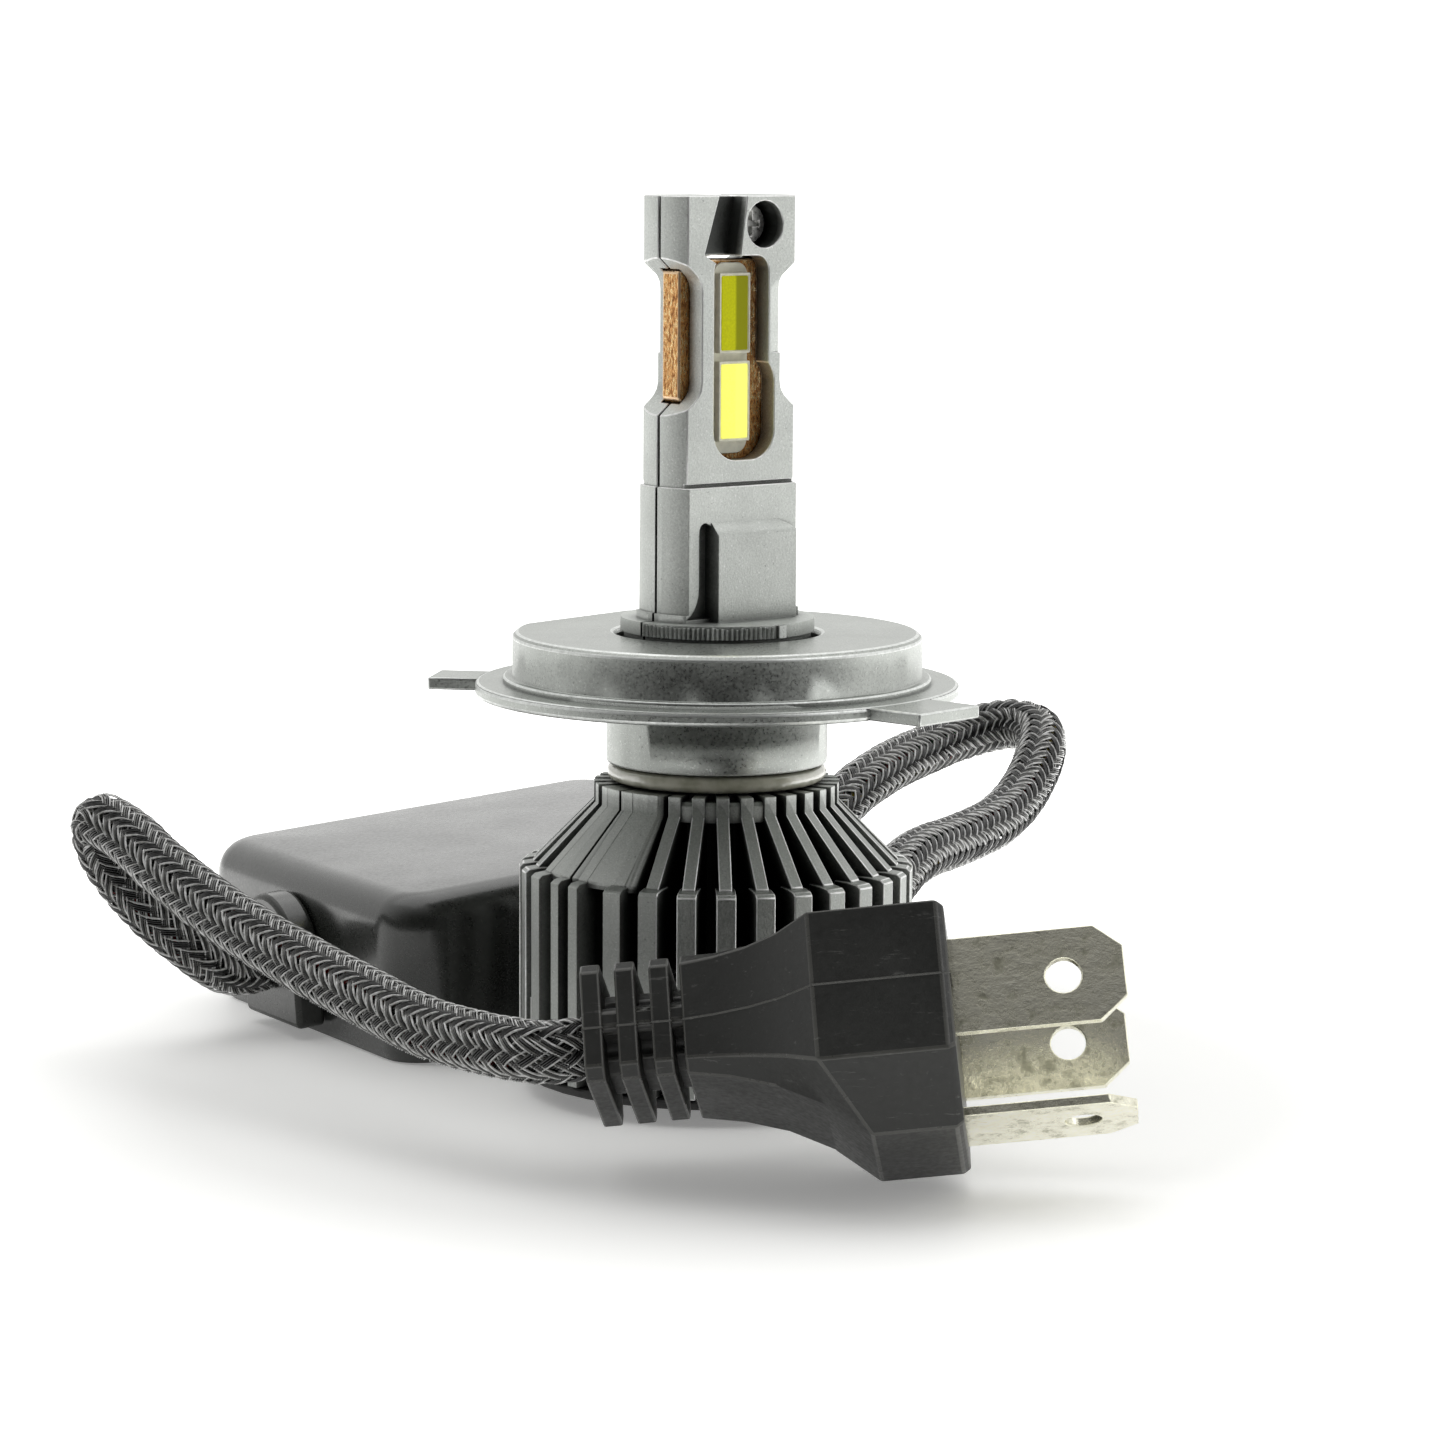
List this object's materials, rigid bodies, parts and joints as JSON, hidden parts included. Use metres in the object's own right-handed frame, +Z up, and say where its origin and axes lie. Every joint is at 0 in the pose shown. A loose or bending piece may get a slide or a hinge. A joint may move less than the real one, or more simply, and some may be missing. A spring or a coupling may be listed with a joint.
{
  "type": "headlight bulb",
  "caption": "LED headlight bulb: LED post with H4 collar, finned heat sink with a fan, a driver box on a braided cable and an H4 plug.",
  "frame": {"origin": "on the lamp's axis, in the flat foot face of the fan cover that the lamp stands on", "axes": "+Z up the lamp's axis from the fan to the LEDs; -Y towards the plug; +X along the plug's blades"},
  "size_m": [0.0961, 0.1289, 0.0795],
  "materials": {
    "cast_aluminium": "fine grained satin casting",
    "collar_aluminium": "satin, worn bright on the tabs' edges",
    "sawn_copper": "sawn copper",
    "white_board": "matt solder mask",
    "low_phosphor": "yellow-green silicone",
    "high_phosphor": "pale yellow silicone",
    "screw_steel": "plated",
    "spring_steel": "oiled",
    "clear_rubber": "glossy, translucent",
    "fan_plastic": "satin moulded",
    "circuit_board": "solder mask",
    "bronze": "sintered",
    "coil_copper": "enamelled wire",
    "ferrite": "matt ceramic",
    "component_black": "moulded epoxy",
    "capacitor_can": "drawn can",
    "case_plastic": "satin moulded",
    "plug_plastic": "satin moulded, lightly scuffed",
    "tinned_brass": "hot tinned",
    "braided_sleeve": "black and clear monofilament braid"
  },
  "bodies": {
    "lamp": {"front_shell": "cast_aluminium", "back_shell": "cast_aluminium", "copper_core": "sawn_copper", "led_board_front": "white_board", "led_board_back": "white_board", "low_beam_led_front": "low_phosphor", "low_beam_led_back": "low_phosphor", "high_beam_led_front": "high_phosphor", "high_beam_led_back": "high_phosphor", "head_screw": "screw_steel", "fan_cover": "fan_plastic", "cover_screw_1": "screw_steel", "cover_screw_2": "screw_steel", "cover_screw_3": "screw_steel", "cover_screw_4": "screw_steel", "fan_frame": "fan_plastic", "fan_board": "circuit_board", "fan_bearing": "bronze", "fan_stator": "coil_copper", "lamp_gland": "case_plastic", "o_ring": "clear_rubber"},
    "snap_ring": {"snap_ring": "spring_steel"},
    "collar": {"collar": "collar_aluminium"},
    "fan_rotor": {"fan_rotor": "fan_plastic", "fan_magnet": "ferrite", "fan_shaft": "screw_steel"},
    "driver": {"driver_case": "case_plastic", "driver_base": "case_plastic", "driver_board": "circuit_board", "driver_inductor": "ferrite", "driver_chip": "component_black", "driver_mosfet": "component_black", "driver_capacitor_1": "capacitor_can", "driver_capacitor_2": "capacitor_can", "driver_plug_gland": "case_plastic", "driver_lamp_gland": "case_plastic", "lamp_cable": "braided_sleeve"},
    "plug": {"plug_body": "plug_plastic", "low_beam_blade": "tinned_brass", "high_beam_blade": "tinned_brass", "ground_blade": "tinned_brass", "plug_cable": "braided_sleeve"}
  },
  "joints": [
    {"name": "collar_lift", "type": "slide", "parent": "lamp", "child": "snap_ring", "axis": [0, 0, 1], "range_m": [0, 0.052]},
    {"name": "collar_turn", "type": "hinge", "parent": "snap_ring", "child": "collar", "pos_m": [0, 0, 0.0367], "axis": [0, 0, 1], "continuous": true},
    {"name": "fan_spin", "type": "hinge", "parent": "lamp", "child": "fan_rotor", "pos_m": [0, 0, 0.005], "axis": [0, 0, 1], "continuous": true},
    {"name": "lamp_cable_flex", "type": "hinge", "parent": "lamp", "child": "driver", "pos_m": [0.00857, 0.01611, 0.0068], "axis": [0, 0, 1], "range_deg": [-5, 5]},
    {"name": "plug_cable_flex", "type": "hinge", "parent": "driver", "child": "plug", "pos_m": [-0.04246, 0.02176, 0.0066], "axis": [0, 0, 1], "range_deg": [-14, 0]}
  ]
}
